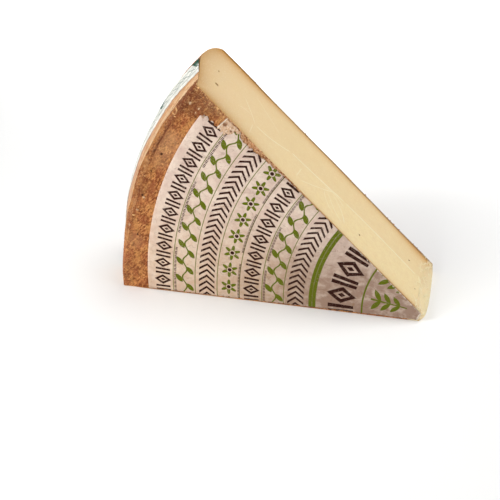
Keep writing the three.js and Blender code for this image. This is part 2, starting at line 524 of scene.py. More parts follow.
def mix(share, first, second):
    """A colour that goes from the first to the second as share goes from 0 to 1."""
    feeds = {"Factor": share, "A": first, "B": second}
    return wire(share.tree, "ShaderNodeMix", feeds, data_type="RGBA")


def coats(colour, colours, *layers):
    """Lays coats over a colour. Each is a mask and the name of its own colour."""
    for mask, name in layers:
        colour = mix(mask, colour, colours[name])
    return colour


def spotted(x, z, spots, ragged):
    """1 on small uneven spots, each given by its x, its z and its radius."""
    marks = [fall(hypotenuse(x - at_x, z - at_z) + ragged, r - 0.4, r + 0.4) for at_x, at_z, r in spots]
    return most(*marks)


def dress(shader, colour, roughness, height, depth):
    """Leads colour, roughness and a bump of the given depth in millimetres into the shader."""
    tree = colour.tree
    tree.links.new(colour.socket, shader.inputs["Base Color"])
    tree.links.new(roughness.socket, shader.inputs["Roughness"])
    feeds = {"Height": height, "Distance": depth * MM, "Strength": 1.0}
    tree.links.new(wire(tree, "ShaderNodeBump", feeds).socket, shader.inputs["Normal"])


def group_in(tree, group, **sizes):
    """Places a shader group and gives a wire for each of its outputs."""
    made = place(tree, "ShaderNodeGroup", sizes, node_tree=group)
    return SimpleNamespace(**{output.name: Wire(tree, output) for output in made.outputs})


print("a finish can be mixed in coats, spotted, and dressed with a bump")

# %% [markdown]
# Two effects turn up on more than one surface, so each is a node group with named inputs: the
# crumbly grain of rind and paste, and the wear of paper with its fibres, stains and cockles.

# %% Grain and paper wear as groups
def make_grain():
    tree, size = new_tree("crumbly_grain", "ShaderNodeTree", lump=4.0, speck=1.0)
    where = point(tree, *spot_on_wedge(tree))
    clouds = noise(where, size.lump, detail=3.0, roughness=0.6)
    fine = noise(where, size.speck, detail=2.0, roughness=0.6)
    return end_tree(
        tree,
        "NodeSocketFloat",
        clouds=rise(clouds, 0.3, 0.7),
        specks=rise(fine, 0.56, 0.68),
        pits=fall(fine, 0.3, 0.42),
        height=clouds * 0.5 + fine * 0.5,
    )


def make_paper_wear():
    tree, size = new_tree("paper_wear", "ShaderNodeTree", fibre=0.7, cloud=22.0)
    x, y, z = spot_on_wedge(tree)
    fibres = noise(point(tree, x, y, z * 2), size.fibre, detail=2.0, roughness=0.7)
    clouds = noise(point(tree, x, y, z), size.cloud, detail=3.0, roughness=0.6)
    stains = noise(point(tree, x + 50, y, z), size.cloud * 0.35, detail=4.0, roughness=0.65)
    folds = size_of(noise(point(tree, x, y + 90, z * 1.6), size.cloud * 0.5, detail=2.0) - 0.5)
    return end_tree(
        tree,
        "NodeSocketFloat",
        fibres=rise(fibres, 0.35, 0.65),
        clouds=rise(clouds, 0.35, 0.65),
        stains=rise(stains, 0.52, 0.68),
        wrinkles=fall(folds, 0.003, 0.014) * rise(stains, 0.4, 0.6),
        height=fibres * 0.4 + clouds * 0.6,
    )


grain_group = make_grain()
paper_group = make_paper_wear()
print("groups:", grain_group.name, "and", paper_group.name)

# %% [markdown]
# The paste is the pale inside of the cheese. It is even in the heart, deepens to tan and amber over
# the last few millimetres before the rind, and ends in a thin dark line. A knife has left one long
# pale scratch, a slightly duller strip beyond it and several fainter ones, and the tip is flaky
# where it broke off. The scratches' pale colour is partly their own and partly a painted highlight
# on their ridges, the crease and blunt end of the tip are lightened partly as painted highlight, and
# the pits' insides are darkened partly as painted shade. A painted picture of the cut would blur
# close up. A formula that starts from the place on the cut stays sharp, so each mark is drawn that
# way, and a little light is let into the paste because it is waxy.

# %% The paste's colours and scratches
PASTE = palette(
    heart=(246, 224, 172),
    heel=(235, 206, 160),
    duller=(235, 206, 156),
    tan=(196, 148, 88),
    amber=(200, 134, 36),
    rim=(108, 72, 20),
    scratch=(255, 248, 222),
    flake=(255, 240, 198),
    pit=(150, 105, 62),
)
# How strong each stroke is, and three places along and across the cut that it runs through.
SCRATCHES = (
    (0.6, (262.5, 51.7), (247.8, 36.3), (240, 27.5)),
    (0.8, (240, 27.5), (220, 30), (198, 39.5)),
    (0.95, (198, 39.5), (166, 42.8), (128, 46.8)),
    (1, (128, 46.8), (79, 47.2), (30, 46.5)),
    (0.35, (242.5, 26), (241.5, 16), (240.9, 7.5)),
    (0.4, (263.5, 30.4), (255, 34.7), (247.2, 35)),
    (0.3, (254.7, 69.5), (235.3, 59.6), (215.6, 48.4)),
    (0.65, (178.1, 13.8), (162.4, 26.6), (142.5, 44.9)),
    (0.55, (154.4, 39.6), (140, 43.4), (125.1, 35.8)),
    (0.65, (143.5, 42), (130.6, 31.4), (120.7, 14.6)),
    (0.55, (149, 38), (135.8, 21.4), (122, 13)),
    (0.45, (152, 35), (140, 17), (131, 11)),
    (0.45, (181.6, 33.3), (182.4, 23), (183.2, 13.7)),
)
SCRATCH_HALF, SCRATCH_SOFT, SCRATCH_FADE = 0.42, 0.3, 4
STRIP_EDGE, STRIP_BEND_FROM, STRIP_BEND = 46.8, 100, 8.2


def scratch_mark(along, across, strength, *through):
    """A curved stroke through three places on the cut, faded at both ends."""
    steep = abs(through[0][1] - through[2][1]) > abs(through[0][0] - through[2][0])
    if steep:
        along, across = across, along
        through = [(spot[1], spot[0]) for spot in through]
    (a, first), (b, second), (c, third) = sorted(through)
    slope = (second - first) / (b - a)
    bend = ((third - second) / (c - b) - slope) / (c - a)
    path = (along - a) * ((along - b) * bend + slope) + first
    ends = rise(along, a, a + SCRATCH_FADE) * fall(along, c - SCRATCH_FADE, c)
    return line(across - path, SCRATCH_HALF, SCRATCH_SOFT) * ends * strength


def duller_strip(along, across):
    """1 beyond the long scratch."""
    bend = most(along - STRIP_BEND_FROM, 0) / 100
    return rise(across - (STRIP_EDGE - bend * bend * STRIP_BEND), 0.2, 2.5)


print("the scratches take", len(SCRATCHES), "strokes")

# %% [markdown]
# The coats of the paste go from the heart outwards: first the even paste, then the tan, the amber
# and the dark line of its edges, and last what the knife and the break left on top. The edges are
# broader at the heel and at the tip, where the rind dries the cheese from two sides.

# %% The paste's finish
def paste_edges(along, across, from_heel, ragged):
    """Masks of the tan, the amber and the dark line that frame the cut."""
    corner = rise(along, 185, 290)
    ends = most(corner, fall(along, 30, 80))
    unbroken = 1 - fall(along, 9, 20)
    to_back = THICKNESS - across
    front = fade(most(across + ragged * 0.4, 0), corner * 6 + 3) * (corner * 0.65 + 0.45)
    low_front = fade(across, 3) * fall(along, 40, 90) * 0.45
    behind = fade(most(to_back - 1.5, 0), ends * 2.5 + 4) * (unbroken * 0.9 + 0.1) * (ends * 0.4 + 1)
    dark_back = fall(to_back, 0.9, ends * 1.2 + 4.6) * unbroken
    dark_front = fall(across + ragged * 0.6, -0.5, 1.4) * (corner * 0.5 + 0.1)
    tan = most(front, fade(from_heel, 10))
    return tan, least(most(behind, low_front), 1), most(dark_back, fall(from_heel, 0.2, 1.6), dark_front)


def make_paste():
    made, tree, shader = finish(
        "cut_paste",
        Subsurface_Weight=0.12,
        Subsurface_Radius=(0.006, 0.0035, 0.0015),
        Subsurface_Scale=1.0,
        Specular_IOR_Level=0.25,
    )
    x, across, z = spot_on_wedge(tree)
    along = hypotenuse(x, z)
    grain = group_in(tree, grain_group, lump=9.0, speck=0.9)
    flecks = group_in(tree, grain_group, lump=3.2, speck=1.4)
    ragged = (grain.height - 0.5) * 3

    # The scratches' pale colour is partly the knife's own mark and partly a painted highlight on their
    # ridges.
    marks = most(*[scratch_mark(along, across, *scratch) for scratch in SCRATCHES])
    marks = marks * (0.65 + flecks.clouds * 0.35)
    beyond = duller_strip(along, across)
    # At the broken tip the pale flakes are the fresh break; the pale crease line and the lighter blunt end
    # are partly that and partly painted highlight.
    tip = fall(along + ragged * 4 + size_of(across - THICKNESS / 2) * 0.08, 19, 26)
    crease = noise(point(tree, along, across * 0.4, 30), 7, 2.0) - 0.5
    crease = fall(size_of(crease), 0.01, 0.05) * fall(along, 23, 32)
    flakes_and_highlight = most(tip * flecks.specks, crease) * 0.6
    tan, amber, dark = paste_edges(along, across, kept(tree, "from_heel"), ragged)
    colour = coats(
        mix(rise(along, 90, 320), PASTE["heart"], PASTE["heel"]),
        PASTE,
        (beyond * fall(along, 200, 240) * 0.5, "duller"),
        (grain.clouds * 0.25 + flecks.clouds * 0.35, "duller"),
        (tan, "tan"),
        (amber, "amber"),
        (dark * 0.9, "rim"),
        (marks, "scratch"),
        (most(flakes_and_highlight, flecks.specks * 0.22, fall(along, 9, 20) * 0.3), "flake"),
        # The pits' insides take a darker colour: partly the paste in them, partly painted shade.
        (kept(tree, "in_pit"), "pit"),
    )
    streaks = noise(point(tree, along / 30, across, 0), 1.6, detail=3.0)
    height = streaks * 0.35 + grain.height * 0.5 + marks * 0.8 - beyond * 0.3
    height = height + flecks.height * tip * 3 + crease * 2
    dress(shader, colour, grain.clouds * 0.12 + 0.46, height, 0.25)
    return made


paste = make_paste()
print("finish:", paste.name)

# %% [markdown]
# The rind is what years of salting and brushing leave: a dry brown crust, grainy, with golden and
# reddish clouds, darker and redder towards the top corner, with pale specks that are partly crumbs
# and partly painted glints, and with a dry bloom on the bare face. Round the heel it turns to a
# smooth pale skin, with a painted highlight along its brink. Along the rim runs a worn brown lip,
# with a groove at its foot and one small blister. The dark groove and the darker red round the rim
# and beside the groove are painted shade, and the blister is a painted pale and dark ring. Grain in
# three sizes does most of it, and a few spots, painted glints and shades are listed where the eye
# would miss them; the near-black spots are painted shade of small holes. First come the places of
# these, because the shape of the cheese reads the groove as well.

# %% The rind's colours and places
RIND = palette(
    dark=(124, 68, 34),
    light=(210, 140, 82),
    golden=(216, 154, 88),
    ruddy=(156, 84, 50),
    red=(112, 60, 36),
    rose=(188, 122, 84),
    crumb=(246, 196, 132),
    tan=(208, 160, 114),
    pit=(88, 42, 22),
    hole=(48, 20, 8),
    skin=(200, 148, 104),
    pink_skin=(222, 178, 150),
    cream_skin=(240, 210, 168),
    flake=(255, 240, 198),
)
# Each spot and each glint: its x, its z and its radius. Each shade: also its colour and strength.
RIND_SPOTS = ((-250.4, 146.7, 1.3), (-272.3, 102.9, 1.3), (-281, 60, 1.0), (-262, 128, 0.9))
RIND_GLINTS = (
    (-228, 201.8, 0.9),
    (-220.7, 197.7, 1.0),
    (-212.7, 192.9, 1.0),
    (-215.6, 189.3, 0.7),
    (-260.6, 157.6, 1.0),
    (-271.6, 99.9, 1.1),
    (-284.7, 86.6, 1.0),
    (-279.2, 86.5, 0.8),
    (-288.8, 69.4, 1.4),
)
RIND_SHADES = (
    (-243, 159, 15, "tan", 0.4),
    (-252, 142, 13, "tan", 0.25),
    (-285, 53, 11, "tan", 0.2),
    (-268, 110, 11, "red", 0.3),
    (-290, 24, 13, "red", 0.2),
)
LIP_FROM, LIP_TO, GROOVE_FROM = 40, 198, 90
BLISTER_UP, BLISTER_OFF, BLISTER_LONG, BLISTER_WIDE = 207.6, -2.2, 3.6, 2.4
TOP_FROM, TOP_TO = 190, 206


def lipped(z):
    """1 on the stretch of the rim that has a lip."""
    return rise(z, LIP_FROM, LIP_FROM + 30) * fall(z, LIP_TO - 12, LIP_TO)


def groove(tree):
    """1 in the groove that runs along the foot of the lip, just inside the face."""
    _, across, z = spot_on_wedge(tree)
    wander = sine(z * 0.09) * 0.5 + sine(z * 0.23) * 0.25
    path = line(kept(tree, "from_heel") - 0.7 - wander, 0.9, 0.6)
    return path * lipped(z) * rise(z, GROOVE_FROM, GROOVE_FROM + 30) * fall(across, 1, 2)


def skin_from(z):
    """The share of the thickness at which the rim's brown ends and the pale skin begins."""
    return rise(z, 178, 190) * 0.04 + rise(z, 125, 160) * 0.035 + 0.05


def skin_on_heel(tree):
    """1 on the smooth pale skin between the rim and the paper band."""
    x, across, z = spot_on_wedge(tree)
    share = kept(tree, "share")
    high = band_drift(angle_of(x, z)) + BAND_FROM
    ragged = (noise(point(tree, z, across, 0), 4.0) - 0.5) * 0.08
    on_heel = fall(kept(tree, "from_heel"), 0.05, 0.35)
    return on_heel * rise(share - skin_from(z) + ragged, -0.006, 0.006) * fall(share - high, 0.03, 0.07)


print("the lip runs from", LIP_FROM, "to", LIP_TO, "mm above the lower cut")

# %% [markdown]
# The rind's finish is a stack of coats, each a mask and a colour, laid one over another like
# glazes. One function gathers the places and grains that they share, and then each kind of place
# on the rind gives its own coats.

# %% The rind's coats on the face
def rind_places(tree):
    """Where a point lies on the rind, with the grains that the coats share."""
    at = SimpleNamespace(tree=tree)
    at.x, at.across, at.z = spot_on_wedge(tree)
    at.where = point(tree, at.x, at.across, at.z)
    at.along, at.below = along_cut(at.x, at.z)
    at.up_rim = along_rim(at.x, at.z)
    at.from_heel = kept(tree, "from_heel")
    at.rim = fade(at.from_heel, 7.0)
    at.face = fall(at.across, 1, 2)
    at.grain = group_in(tree, grain_group, lump=2.2, speck=1.1)
    at.blotches = group_in(tree, grain_group, lump=5.5, speck=2.4)
    at.patches = group_in(tree, grain_group, lump=24.0, speck=9.0)
    at.rough = rise(noise(at.where, 10.0, 2.0), 0.4, 0.6)
    brushed = point(tree, (at.x + at.z) * 0.32, at.across * 0.6, (at.x - at.z) * 0.7)
    at.strokes = noise(brushed, 1.5, 3.0, 0.6)
    top = rise(at.z + at.blotches.height * 20, TOP_FROM, TOP_TO) * fall(at.across, 20, 40)
    at.top = top * (0.6 + at.blotches.clouds * 0.4)
    return at


def brown_ground(at):
    """The crust itself, in its lights and darks, with its clouds, shades and spots."""
    tone = (at.strokes - 0.5) * (at.rough * 0.8 + 0.35) + at.grain.height * 0.16 + 0.18
    tone = tone + at.blotches.height * 0.28 + at.patches.height * 0.2
    hue = noise(point(at.tree, at.up_rim * 0.6, at.across, hypotenuse(at.x, at.z)), 8.0, 3.0)
    bloom = rise(noise(at.where, 45.0, 4.0, 0.6), 0.42, 0.62) * rise(at.across, 60, 88)
    ragged = (at.grain.height - 0.5) * 3
    shades = [
        (fall(hypotenuse(at.x - x, at.z - z) / radius, 0.3, 1.3) * at.face * strength, colour)
        for x, z, radius, colour, strength in RIND_SHADES
    ]
    return coats(
        mix(rise(tone, 0.41, 0.59), RIND["dark"], RIND["light"]),
        RIND,
        (rise(hue, 0.5, 0.66) * 0.5, "golden"),
        (fall(hue, 0.36, 0.52) * 0.6, "ruddy"),
        (fall(at.z, 30, 120) * at.rim * 0.3, "rose"),
        (most(at.blotches.pits * 0.5, at.patches.pits * 0.3, at.top), "red"),
        (at.grain.pits * at.rough * 0.3, "pit"),
        *shades,
        (bloom * (at.grain.clouds * 0.25 + 0.15), "skin"),
        # RIND_SPOTS are small holes that the shape doesn't have; their near-black is painted shade.
        (spotted(at.x, at.z, RIND_SPOTS, ragged) * at.face * 0.9, "hole"),
        # RIND_GLINTS are painted highlights: pale spots where the crust catches the light.
        (spotted(at.x, at.z, RIND_GLINTS, ragged * 2) * at.face * 0.6, "cream_skin"),
    )


print("the face has", len(RIND_SHADES), "shades set by hand")

# %% [markdown]
# Along the upper cut the label is frayed and torn away. The rind there is pale where its skin came
# off with the paper, crumbled beside the tear and rugged at the top corner, and the tip shows
# flakes of paste. All this follows the tear, so the masks use the numbers that the paper uses.

# %% The rind's coats beside the torn label
def beside_label(at):
    """Coats for the rind laid bare beside the torn label, for the top corner and for the tip, and the pale
    specks over the rind, which are partly crumbs and partly painted glints.
    """
    clouds = at.grain.clouds
    torn = rise(at.along, FRAY_FROM - 3, FRAY_FROM + 3) * fall(at.along, TEAR_FROM - 1.5, TEAR_FROM + 1.5)
    corner = rise(at.along, TEAR_FROM - 2.5, TEAR_FROM + 1.5)
    edge = corner * fall(at.along, 284, 304) * 0.35
    bare = fade(most(at.below - 7, 0), 2) * torn + fade(most(at.below - 4, 0), 4) * edge
    brink = fade(most(at.below, 0), 1.6) * (clouds * 0.5 + 0.3)
    bare = most(bare * (clouds * 0.5 + 0.5), brink) * at.face
    broken = fall(at.below, 8, 12) * at.face * (1 - corner)
    rugged = fade(most(at.below - 1, 0), 9) * corner * at.face
    # pale is partly real crumbs and partly painted glints where grains catch the light; the larger pale
    # specks at the top corner are painted glints.
    pale = at.rim * at.blotches.clouds * 0.6 + bare * 0.5 + at.patches.specks * 0.3 + 0.1
    pale = at.grain.specks * pale * (1 - at.top * 0.7) + rise(at.strokes, 0.6, 0.7) * at.rough * 0.35
    crumbly = rugged * most(at.grain.specks, at.blotches.specks * 0.8) * 0.8
    return (
        (bare, "tan"),
        (broken * 0.3, "dark"),
        (broken * rise(at.grain.height, 0.48, 0.56) * 0.55, "pink_skin"),
        (broken * fall(at.blotches.height, 0.42, 0.49) * 0.9, "dark"),
        (fall(at.along, 160, 190) * fall(at.below, 1.5, 3.5) * at.face * 0.85, "tan"),
        (fall(hypotenuse(at.x, at.z), 18, 24) * at.face * 0.9, "flake"),
        (rugged * at.blotches.pits * 0.6, "pit"),
        (most(pale, at.blotches.specks * at.top * 0.3, crumbly), "crumb"),
    )


print("the label is torn away from", TEAR_FROM, "mm along the upper cut")

# %% [markdown]
# Round the heel the rind is another thing: smooth, pale and streaky, with a painted highlight along
# its brink, and with the lip of the rim worn brown by handling and darkened round the rim and beside
# its groove by painted shade. It is still the same rind, so it is the same material with more coats,
# and the one runs into the other. The loose crumbs take the face's coats, in tones of their own.

# %% The rind's coats round the heel, and its finishes
def pale_skin(at, streaks):
    """Coats for the streaky skin between the rim and the band, with a painted highlight along its brink."""
    smooth = skin_on_heel(at.tree)
    mottled = at.blotches.clouds * fall(at.z, 60, 190) * 0.3 + at.grain.specks * 0.2
    fine = noise(point(at.tree, at.up_rim / 5, at.across, 7), 1.5, 3.0)
    width = at.across / THICKNESS + (streaks - 0.5) * 0.2
    # brink is a painted highlight: the cream line where the lip of the rim catches the light.
    brink = fall(width, 0.16, 0.28) * rise(streaks, 0.35, 0.6)
    return (
        (smooth * (0.96 - mottled), "skin"),
        (smooth * rise(width, 0.22, 0.34) * 0.7, "pink_skin"),
        (smooth * brink * 0.8, "cream_skin"),
        (smooth * rise(fine, 0.5, 0.62) * 0.35, "cream_skin"),
        (smooth * fall(fine, 0.38, 0.5) * 0.3, "rose"),
        (smooth * at.blotches.pits * 0.5, "ruddy"),
    )


def worn_lip(at, streaks):
    """Coats for the lip of the rim, the groove at its foot and the blister at its top. The darker red round
    the rim, the dark groove and the red beside it are painted shade, and the blister is a painted highlight
    ring and shade ring.
    """
    stretch = lipped(at.z)
    crumbled = rise(streaks * 0.4 + at.grain.height * 0.6, 0.45, 0.58)
    lip = stretch * fall(at.from_heel, 0.3, 1.3) * fall(at.across, 3, 6)
    # worn is the brown that reaches round the rim onto the heel; its red coat is painted shade.
    worn = stretch * fall(kept(at.tree, "share") - skin_from(at.z), -0.025, 0.015)
    # foot is painted shade: a red-brown fall-off beside the groove, under the lip.
    foot = stretch * at.face * rise(at.from_heel, 0.8, 1.4) * fade(most(at.from_heel - 1.4, 0), 2.5)
    # The blister has no relief in the shape: its pale ring is a painted highlight and its dark ring painted
    # shade.
    off_rim = at.from_heel - at.across * 0.55
    blister = hypotenuse((at.up_rim - BLISTER_UP) / BLISTER_LONG, (off_rim - BLISTER_OFF) / BLISTER_WIDE)
    near_face = fall(at.across, 8, 10) * (at.grain.clouds * 0.6 + 0.4)
    return (
        (lip * crumbled * 0.15, "cream_skin"),
        (worn * fall(at.from_heel, 0.3, 0.9) * 0.4, "red"),
        (foot * (at.patches.clouds * 0.5 + 0.5), "red"),
        # The groove is real, and its dark colour is painted shade in it.
        (groove(at.tree) * 0.7, "pit"),
        (line(blister - 0.8, 0.2, 0.2) * near_face * 0.7, "crumb"),
        (line(blister - 1.25, 0.1, 0.2) * near_face * 0.6, "pit"),
    )


def make_rind(name, scattered):
    """The rind, or its loose crumbs, whose tone was drawn when they were scattered."""
    made, tree, shader = finish(name, Specular_IOR_Level=0.12)
    at = rind_places(tree)
    if scattered:
        chance = kept(tree, "tone")
        last = (fall(chance, 0.2, 0.5) * 0.5, "light"), (rise(chance, 0.75, 1.0), "crumb")
    else:
        streaks = noise(point(tree, at.up_rim / 3, at.across, 0), 4.0, 3.0)
        last = (*pale_skin(at, streaks), *worn_lip(at, streaks))
    colour = coats(brown_ground(at), RIND, *beside_label(at), *last)
    height = (at.grain.height + at.strokes) * (at.rough * 0.6 + 0.3) + at.blotches.height * 0.8
    dress(shader, colour, at.grain.clouds * 0.15 + 0.7, height, 1.2)
    return made


rind = make_rind("brown_rind", scattered=False)
crumb = make_rind("rind_crumb", scattered=True)
print("finishes:", rind.name, "and", crumb.name)

# %% [markdown]
# The label is printed in leaf green and dark brown. A picture of the print would need a file and
# would blur close up, so the print is drawn by formulas too, and stays crisp at any distance. It is
# a plain ornament of friezes that run round the wheel: lozenges, leaves, chevrons and rosettes.
# Each frieze is one cell that repeats, with u along it and v across it, both in millimetres.

# %% Print: the repeating cell, lozenges and leaves
def cell_of(angle, distance, middle, width):
    """Place in a frieze's repeated cell: u along the frieze, v across it."""
    count = round(2 * math.pi * middle / width)
    u = (part_of(angle * (count / (2 * math.pi))) - 0.5) * (2 * math.pi * middle / count)
    return u, distance - middle


def lozenge(u, v, half_width, half_height):
    """1 inside a lozenge."""
    return fall(size_of(u) / half_width + size_of(v) / half_height, 0.94, 1.06)


def leaf(u, v, tilt, half_length, half_width):
    """1 inside a pointed leaf, the overlap of two circles."""
    along = u * math.cos(tilt) + v * math.sin(tilt)
    across = v * math.cos(tilt) - u * math.sin(tilt)
    circle = (half_length**2 + half_width**2) / (2 * half_width)
    return fall(hypotenuse(along, size_of(across) + (circle - half_width)), circle - 0.15, circle + 0.15)


def lozenges(u, v, half_width, half_height):
    """Hollow lozenges with a filled heart, and two upright bars between them."""
    ring = lozenge(u, v, half_width, half_height) - lozenge(u, v, half_width * 0.5, half_height * 0.56)
    heart = lozenge(u, v, half_width * 0.26, half_height * 0.28)
    bars = line(size_of(u) - half_width * 1.36, half_width * 0.2) * line(v, half_height * 0.86)
    return most(ring, heart, bars)


def garland(u, v, width):
    """A wavy stem with a leaf on each side of every wave."""
    turn = 2 * math.pi / width
    stem = line(v - sine(u * turn) * 2.2, 0.8)
    over = leaf(u - width * 0.18, v - 5.4, 0.7, 5.2, 2.5)
    under = leaf(u + width * 0.3, v + 5.4, 0.7, 5.2, 2.5)
    return most(stem, over, under)


print("motifs: lozenges and a garland")

# %% [markdown]
# The other motifs are chevrons, rosettes, sprigs and rows of short dashes. They need no copies: the
# cell's u starts again in each cell, and the dashes take their beat straight from the angle.

# %% Print: chevrons, rosettes, sprigs and dashes
def chevrons(u, v, width):
    """Chevrons that point along the frieze."""
    turned = part_of((u + size_of(v) * 0.8) / width + 5) - 0.5
    return line(turned * width, 1.3) * line(v, 7.8)


def rosette(u, v, radius):
    """Six petals round a ring, and the dot in its middle."""
    out = hypotenuse(u, v)
    petals = cosine(v.math("ARCTAN2", u) * 6) * 0.3 + 0.7
    flower = fall(out - petals * radius, -0.2, 0.2) * rise(out, radius * 0.32, radius * 0.38)
    return flower, fall(out, radius * 0.2, radius * 0.26)


def sprig(u, v):
    """A straight stem across the frieze with three pairs of leaves."""
    made = line(u, 0.8) * line(v, 17)
    for step in (-9, 0, 9):
        for side in (-1, 1):
            made = most(made, leaf(u - side * 4.4, v - step - 2.5, side * 0.75, 6.2, 2.2))
    return made


def dashes(angle, distance, middle):
    """A row of short uneven dashes, in pairs and threes."""
    beat = part_of(angle * 57) * rise(sine(angle * 23), -0.8, -0.7)
    strokes = line(part_of(angle * 171) - 0.5, 0.3, 0.08) * rise(beat, 0.12, 0.16)
    return strokes * line(distance - middle, 1.1)


print("motifs: chevrons, a rosette, a sprig and dashes")

# %% [markdown]
# The friezes follow one another from the rim inwards, four motifs in turn, with a thin rule between
# them. Nearer the middle come a green ring, a bold frieze of lozenges and a row of sprigs. A list of
# distances is enough to place them, and the loop picks each motif by its number.

# %% Print: the friezes, by their distance from the label's centre
FRIEZES = (284, 262, 240, 218, 196, 174, 153)
FRIEZE_CELL, RULE_OUT, DASHES_OUT = 19, 11.6, 9.6
RING, BOLD, INNER_RING, SPRIGS = 137, 110, 90, 66
BOLD_CELL, SPRIG_CELL = 30, 23


def print_on_label(x, z):
    """Masks of the green and of the brown print."""
    distance, angle = round_label(x, z)
    dots = line(part_of(angle * 115) - 0.5, 0.18, 0.08) * line(distance - RING, 0.5)
    rings = most(line(distance - INNER_RING, 0.8), line(distance - RING, 3.4) - dots * 0.5)
    green = most(rings, sprig(*cell_of(angle, distance, SPRIGS, SPRIG_CELL)))
    brown = lozenges(*cell_of(angle, distance, BOLD, BOLD_CELL), 9, 14)
    for number, middle in enumerate(FRIEZES):
        u, v = cell_of(angle, distance, middle, FRIEZE_CELL)
        if number % 4 == 0:
            brown = most(brown, lozenges(u, v, 5.4, 8.4))
        elif number % 4 == 1:
            green = most(green, garland(u, v, FRIEZE_CELL))
            brown = most(brown, dashes(angle, distance, middle + DASHES_OUT))
        elif number % 4 == 2:
            brown = most(brown, chevrons(u, v, 6.3))
        else:
            flower, dot = rosette(u, v, 8.2)
            green = most(green, flower)
            brown = most(brown, dot, dashes(angle, distance, middle - DASHES_OUT))
        if number > 0:
            green = most(green, line(distance - middle - RULE_OUT, 0.35))
    return green, brown


print("the print has", len(FRIEZES) + 2, "friezes")

# %% [markdown]
# The label is thin greyish pink paper that has lain on a damp rind. It has cockled, turns warmer and
# yellower low on the left, darkens towards the tip, partly with fat and partly as painted shade, and
# is creased where the wheel was handled. Where the print is peeled off, the soft under-layer shows,
# with a few holes down to the rind. Clean paper under clean print would look pasted on, so the stains
# and the painted shade lie under the ink and the wear goes over it.

# %% The label's wear
LABEL = palette(
    paper=(238, 218, 200),
    pink=(216, 189, 174),
    grey=(212, 194, 176),
    stain=(160, 132, 115),
    speck=(150, 112, 78),
    green=(96, 105, 10),
    brown=(48, 14, 3),
    yellowed=(222, 180, 122),
    under=(214, 172, 134),
    hole=(116, 70, 40),
    edge=(244, 230, 210),
)
# Each dirty spot and each hole: its x, its z and its radius. Each crease: its height where x is
# nought, its slope and half its width.
DIRT = ((-209, 186.5, 1.5), (-220.4, 148.4, 1.0), (-248.3, 129.9, 1.3))
HOLES = ((-189.2, 180.5, 1.7), (-184, 174.8, 1.2), (-180.5, 174.2, 0.9))
CREASES = ((111, 0.06, 0.6), (121, 0.03, 0.5))
CREASE_FROM, CREASE_TO = -250, -150
PEEL_LEAST, PEEL_MORE = 4.5, 10
FAT_AND_SHADE_FROM, FAT_AND_SHADE_TO = -262, -76


def creased(x, z):
    """1 along the creases that handling left in the label."""
    marks = [line(z - x * slope - height, half, half) for height, slope, half in CREASES]
    return most(*marks) * rise(x, CREASE_FROM, CREASE_FROM + 15) * fall(x, CREASE_TO - 35, CREASE_TO)


def peeled(along, below):
    """1 where the label's printed sheet is peeled off and its soft under-layer shows."""
    ragged = sine(along * 1.7) * 0.9 + sine(along * 3.1 + 2) * 0.6
    edge = rise(along, FRAY_TO + 1.5, FRAY_TO + 8.5) * PEEL_MORE + PEEL_LEAST + ragged
    stretch = rise(along, FRAY_TO - 1, FRAY_TO + 0.5) * fall(along, TEAR_FROM - 0.3, TEAR_FROM + 0.1)
    return rise(edge - below, -0.3, 0.4) * stretch


def pale_edges(x, z, along, below, grain, mottle):
    """1 where the torn paper shows its pale core, at the tear, the foot and the upper cut."""
    torn_side = line(along - TEAR_FROM + 0.5, 0.4) * fall(below, TEAR_DEPTH, TEAR_DEPTH + 1)
    lowest = fall(least(z, hypotenuse(x, z) - LABEL_TIP + 0.3) + grain.height * 1.6, 2.2, 3.2)
    upper = fall(below + grain.height * 7, 4.2, 5) * fall(along, 100, 130)
    return most(torn_side * 0.8, lowest * 0.7, upper * (mottle.clouds * 0.5 + 0.4))


print("the label has", len(DIRT), "dirty spots and", len(HOLES), "holes")

# %% [markdown]
# The coats of the label go from the paper up: its stains, the ink on it, and last the peeled patch
# and the torn edges, which are lighter because they show the inside of the sheet.

